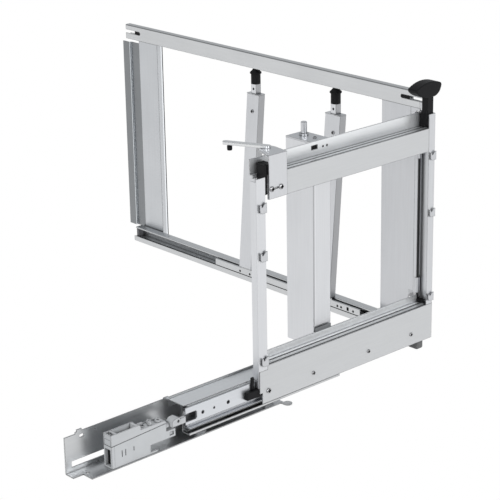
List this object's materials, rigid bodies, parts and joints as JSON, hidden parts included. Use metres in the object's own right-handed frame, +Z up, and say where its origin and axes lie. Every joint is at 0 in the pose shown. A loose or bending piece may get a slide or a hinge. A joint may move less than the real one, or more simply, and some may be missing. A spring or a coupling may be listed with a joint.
{
  "type": "blind corner pull-out",
  "caption": "Pull-out mechanism for a blind corner cabinet: a front frame on a floor-mounted ball-bearing slide, a swinging rear frame and a sliding carriage for shelves.",
  "frame": {"origin": "centre of the two floor screws, on the underside of the floor bracket", "axes": "+Z up from the cabinet floor, +Y along the slide in the pull-out direction, +X from the rear frame to the front frame"},
  "size_m": [0.874, 0.8206, 0.5074],
  "materials": {
    "zinc_sheet": "satin zinc plated",
    "frame_steel": "satin",
    "bright_steel": "bright zinc",
    "grey_plastic": "fine grain",
    "dark_plastic": "matte",
    "dark_steel": "blackened",
    "stop_rubber": "matte"
  },
  "bodies": {
    "base": {"floor_bracket": "zinc_sheet", "damper_housing": "grey_plastic", "damper_cap": "grey_plastic", "damper_screws": "bright_steel", "slide_cover": "zinc_sheet", "slide_outer": "zinc_sheet"},
    "catch": {"damper_catch": "grey_plastic"},
    "outer_cage": {"ball_cage_outer": "bright_steel"},
    "middle": {"slide_middle": "zinc_sheet"},
    "inner_cage": {"ball_cage_inner": "bright_steel"},
    "front": {"slide_inner": "zinc_sheet", "carrier_plate": "zinc_sheet", "inner_end_block": "dark_plastic", "slide_spacers": "bright_steel", "bottom_plate": "frame_steel", "bottom_channel": "frame_steel", "plate_screws": "bright_steel", "top_channel": "frame_steel", "left_post": "frame_steel", "right_post": "frame_steel", "corner_block_bottom": "dark_plastic", "corner_block_top": "dark_plastic", "corner_foot": "dark_plastic", "handle_stem": "dark_plastic", "pull_handle": "dark_plastic", "lever_bracket": "frame_steel", "lever_block": "dark_plastic", "lever_arm": "bright_steel", "lever_pin": "dark_steel", "lever_screws": "bright_steel", "column": "frame_steel", "column_cap": "frame_steel", "column_pin": "bright_steel", "column_screw": "bright_steel", "column_foot": "frame_steel"},
    "lever_wheel": {"lever_roller": "dark_plastic"},
    "rear": {"swing_rod": "dark_steel", "rear_top_bar": "frame_steel", "rear_left_upright": "frame_steel", "rear_side_profile": "frame_steel", "rear_right_upright": "frame_steel", "rear_bottom_rail": "zinc_sheet", "rear_slide_outer": "zinc_sheet", "rail_stops": "stop_rubber"},
    "rear_cage": {"rear_ball_cage": "bright_steel"},
    "carriage": {"rear_runner": "zinc_sheet", "carriage_post_left": "frame_steel", "post_insert_left": "frame_steel", "guide_cap_left": "dark_plastic", "carriage_post_right": "frame_steel", "post_insert_right": "frame_steel", "guide_cap_right": "dark_plastic", "post_screws": "bright_steel"},
    "guide_wheel_left": {"guide_roller_left": "dark_plastic"},
    "guide_wheel_right": {"guide_roller_right": "dark_plastic"}
  },
  "joints": [
    {"name": "pull_out", "type": "slide", "parent": "base", "child": "front", "axis": [0, 1, 0], "range_m": [0, 0.35]},
    {"name": "middle_travel", "type": "slide", "parent": "base", "child": "middle", "axis": [0, 1, 0], "range_m": [0, 0.175]},
    {"name": "outer_cage_travel", "type": "slide", "parent": "base", "child": "outer_cage", "axis": [0, 1, 0], "range_m": [0, 0.0875]},
    {"name": "inner_cage_travel", "type": "slide", "parent": "base", "child": "inner_cage", "axis": [0, 1, 0], "range_m": [0, 0.2625]},
    {"name": "catch_travel", "type": "slide", "parent": "base", "child": "catch", "axis": [0, 1, 0], "range_m": [0, 0.018]},
    {"name": "lever_roll", "type": "hinge", "parent": "front", "child": "lever_wheel", "pos_m": [-0.06, 0.1801, 0.4515], "axis": [0, 0, 1], "continuous": true},
    {"name": "swing", "type": "hinge", "parent": "front", "child": "rear", "pos_m": [0.004, 0.579, 0.25], "axis": [0, 0, 1], "range_deg": [0, 45]},
    {"name": "carriage_travel", "type": "slide", "parent": "rear", "child": "carriage", "axis": [1, 0, 0], "range_m": [-0.25, 0.07]},
    {"name": "rear_cage_travel", "type": "slide", "parent": "rear", "child": "rear_cage", "axis": [1, 0, 0], "range_m": [-0.125, 0.035]},
    {"name": "guide_roll_left", "type": "hinge", "parent": "carriage", "child": "guide_wheel_left", "pos_m": [-0.4305, 0.582, 0.46], "axis": [0, 0, 1], "continuous": true},
    {"name": "guide_roll_right", "type": "hinge", "parent": "carriage", "child": "guide_wheel_right", "pos_m": [-0.21, 0.582, 0.46], "axis": [0, 0, 1], "continuous": true}
  ],
  "couplings": [
    {"joint": "middle_travel", "follows": "pull_out", "ratio": 0.5},
    {"joint": "outer_cage_travel", "follows": "pull_out", "ratio": 0.25},
    {"joint": "inner_cage_travel", "follows": "pull_out", "ratio": 0.75},
    {"joint": "rear_cage_travel", "follows": "carriage_travel", "ratio": 0.5}
  ]
}
